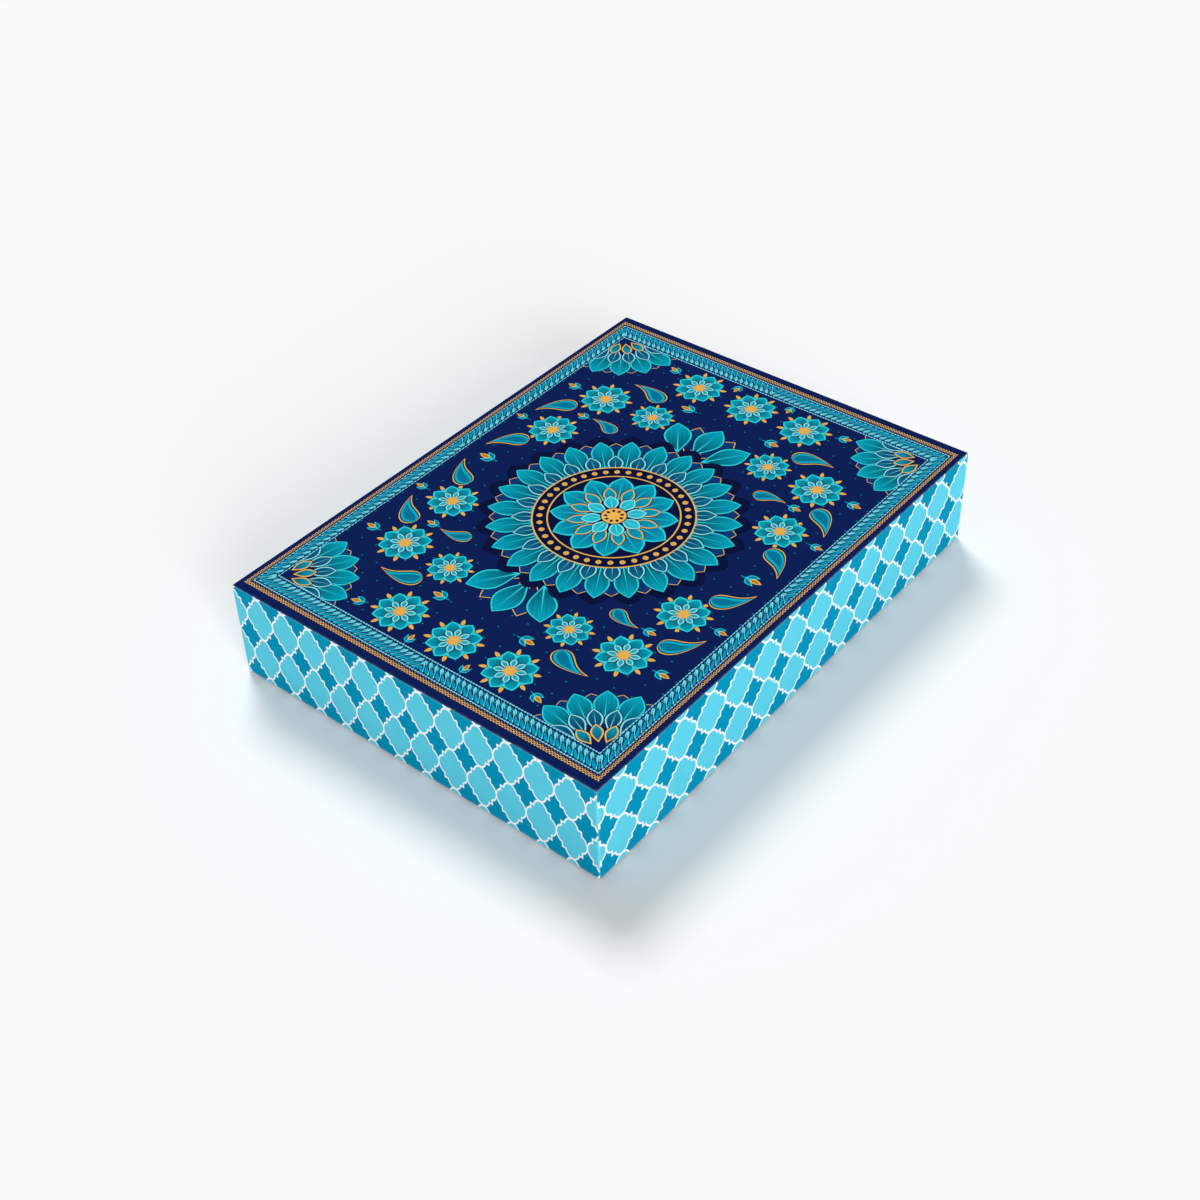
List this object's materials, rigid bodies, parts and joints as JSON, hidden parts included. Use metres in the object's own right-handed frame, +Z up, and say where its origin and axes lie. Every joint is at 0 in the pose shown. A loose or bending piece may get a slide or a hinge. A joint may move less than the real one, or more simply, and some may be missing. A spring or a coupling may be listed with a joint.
{
  "type": "sweet box",
  "caption": "Rigid card sweet box: deep lift-off lid wrapped in printed paper over a lined tray with a slotted card divider.",
  "frame": {"origin": "middle of the underside of the closed box", "axes": "+X along the long side, +Z up, the front long side faces -Y"},
  "size_m": [0.241, 0.178, 0.044],
  "materials": {
    "greyboard": "uncoated grey board",
    "stay_tape": "gummed kraft tape",
    "printed_wrap": "printed and laminated, soft satin",
    "tray_wrap": "dyed matt paper",
    "liner_paper": "matt white paper",
    "greaseproof": "greaseproof, slight sheen",
    "divider_card": "white-lined card"
  },
  "bodies": {
    "tray": {"tray_bottom_board": "greyboard", "tray_front_wall": "greyboard", "tray_back_wall": "greyboard", "tray_left_wall": "greyboard", "tray_right_wall": "greyboard", "tray_corner_stays": "stay_tape", "tray_side_wrap": "tray_wrap", "tray_bottom_paper": "tray_wrap", "tray_floor_liner": "greaseproof", "tray_wall_liner": "greaseproof"},
    "lid": {"lid_top_board": "greyboard", "lid_front_wall": "greyboard", "lid_back_wall": "greyboard", "lid_left_wall": "greyboard", "lid_right_wall": "greyboard", "lid_corner_stays": "stay_tape", "lid_printed_wrap": "printed_wrap", "lid_top_liner": "liner_paper", "lid_wall_liner": "liner_paper"},
    "crate": {"crate_long_strip_1": "divider_card", "crate_long_strip_2": "divider_card", "crate_cross_strip_1": "divider_card", "crate_cross_strip_2": "divider_card", "crate_cross_strip_3": "divider_card"}
  },
  "joints": [
    {"name": "lid_lift", "type": "slide", "parent": "tray", "child": "lid", "axis": [0, 0, 1], "range_m": [0, 0.12]},
    {"name": "crate_lift", "type": "slide", "parent": "tray", "child": "crate", "axis": [0, 0, 1], "range_m": [0, 0.009]}
  ]
}
